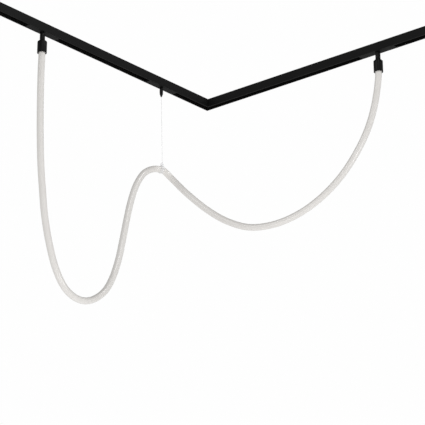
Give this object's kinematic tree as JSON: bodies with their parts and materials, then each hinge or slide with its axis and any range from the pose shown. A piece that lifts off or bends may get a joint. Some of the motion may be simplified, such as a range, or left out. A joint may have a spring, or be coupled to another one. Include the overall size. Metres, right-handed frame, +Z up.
{
  "type": "track lighting fixture",
  "caption": "Corner of surface-mounted magnetic lighting track with powered adapters that hold a hanging flexible silicone light tube, lifted by a wire.",
  "frame": {"origin": "on the ceiling face, where the centre lines of the two tracks cross", "axes": "+Z up into the ceiling, +X along the right track away from the corner, -Y along the left track away from the corner"},
  "size_m": [1.0157, 1.0157, 0.7669],
  "materials": {
    "black_aluminium": "satin black anodised aluminium",
    "black_plastic": "fine matt black moulded plastic",
    "copper": "bare copper strip",
    "steel": "zinc plated or stainless steel",
    "magnet": "nickel plated magnet",
    "brass": "gold plated brass contact",
    "circuit_board": "green circuit board with black components",
    "silicone": "milky white translucent silicone, unlit",
    "clear_plastic": "clear polycarbonate",
    "light_strip": "flexible white circuit strip with yellow phosphor"
  },
  "bodies": {
    "root": {"left_track_profile": "black_aluminium", "right_track_profile": "black_aluminium", "left_conductor_carrier": "black_plastic", "right_conductor_carrier": "black_plastic", "left_inner_conductor": "copper", "left_outer_conductor": "copper", "right_inner_conductor": "copper", "right_outer_conductor": "copper", "left_keeper_strip": "steel", "right_keeper_strip": "steel", "left_end_cap": "black_plastic", "right_end_cap": "black_plastic", "corner_bracket": "steel", "left_bracket_screw": "steel", "right_bracket_screw": "steel", "corner_connector": "black_plastic", "inner_corner_jumper": "copper", "outer_corner_jumper": "copper", "live_feed_block": "black_plastic", "silicone_tube": "silicone", "light_strip": "light_strip"},
    "left_carrier": {"left_adapter_housing": "black_plastic", "left_adapter_cover": "black_plastic", "left_driver_board": "circuit_board", "left_inner_magnet": "magnet", "left_outer_magnet": "magnet", "left_lead": "black_plastic"},
    "left_inner_pin": {"left_inner_contact_pin": "brass"},
    "left_outer_pin": {"left_outer_contact_pin": "brass"},
    "left_swivel": {"left_stem": "black_aluminium", "left_stem_nut": "steel", "left_cap": "black_aluminium", "left_cap_screw": "steel", "left_tube_end_plug": "black_plastic"},
    "right_carrier": {"right_adapter_housing": "black_plastic", "right_adapter_cover": "black_plastic", "right_driver_board": "circuit_board", "right_inner_magnet": "magnet", "right_outer_magnet": "magnet", "right_lead": "black_plastic"},
    "right_inner_pin": {"right_inner_contact_pin": "brass"},
    "right_outer_pin": {"right_outer_contact_pin": "brass"},
    "right_swivel": {"right_stem": "black_aluminium", "right_stem_nut": "steel", "right_cap": "black_aluminium", "right_cap_screw": "steel", "right_tube_end_plug": "black_plastic"},
    "centre_carrier": {"centre_adapter_housing": "black_plastic", "centre_adapter_cover": "black_plastic", "centre_inner_magnet": "magnet", "centre_outer_magnet": "magnet", "gripper_body": "black_aluminium", "gripper_spring": "steel", "suspension_wire": "steel"},
    "release_sleeve": {"gripper_release_sleeve": "black_aluminium"},
    "collar": {"tube_collar": "clear_plastic", "collar_screw": "clear_plastic", "wire_ferrule": "clear_plastic"}
  },
  "joints": [
    {"name": "left_adapter_slide", "type": "slide", "parent": "root", "child": "left_carrier", "axis": [0, 1, 0], "range_m": [-0.12, 0.15], "deforming": ["silicone_tube", "light_strip"]},
    {"name": "right_adapter_slide", "type": "slide", "parent": "root", "child": "right_carrier", "axis": [1, 0, 0], "range_m": [-0.12, 0.12], "deforming": ["silicone_tube", "light_strip"]},
    {"name": "centre_adapter_slide", "type": "slide", "parent": "root", "child": "centre_carrier", "axis": [0, 1, 0], "range_m": [-0.06, 0.06], "deforming": ["silicone_tube", "light_strip"]},
    {"name": "collar_height", "type": "slide", "parent": "centre_carrier", "child": "collar", "axis": [0, 0, 1], "range_m": [-0.03, 0.06], "deforming": ["silicone_tube", "light_strip", "suspension_wire"]},
    {"name": "gripper_release", "type": "slide", "parent": "centre_carrier", "child": "release_sleeve", "axis": [0, 0, 1], "range_m": [0, 0.0015], "stiffness_N_per_m": 300, "springref_m": -0.002, "deforming": ["gripper_spring"]},
    {"name": "left_stem_swivel", "type": "hinge", "parent": "left_carrier", "child": "left_swivel", "pos_m": [0, -0.707, -0.04], "axis": [0, 0, 1], "range_deg": [-170, 170]},
    {"name": "right_stem_swivel", "type": "hinge", "parent": "right_carrier", "child": "right_swivel", "pos_m": [0.633, 0, -0.04], "axis": [0, 0, 1], "range_deg": [-170, 170]},
    {"name": "left_inner_pin_press", "type": "slide", "parent": "left_carrier", "child": "left_inner_pin", "axis": [0, 0, -1], "range_m": [0, 0.001], "stiffness_N_per_m": 150, "springref_m": -0.002},
    {"name": "left_outer_pin_press", "type": "slide", "parent": "left_carrier", "child": "left_outer_pin", "axis": [0, 0, -1], "range_m": [0, 0.001], "stiffness_N_per_m": 150, "springref_m": -0.002},
    {"name": "right_inner_pin_press", "type": "slide", "parent": "right_carrier", "child": "right_inner_pin", "axis": [0, 0, -1], "range_m": [0, 0.001], "stiffness_N_per_m": 150, "springref_m": -0.002},
    {"name": "right_outer_pin_press", "type": "slide", "parent": "right_carrier", "child": "right_outer_pin", "axis": [0, 0, -1], "range_m": [0, 0.001], "stiffness_N_per_m": 150, "springref_m": -0.002}
  ]
}
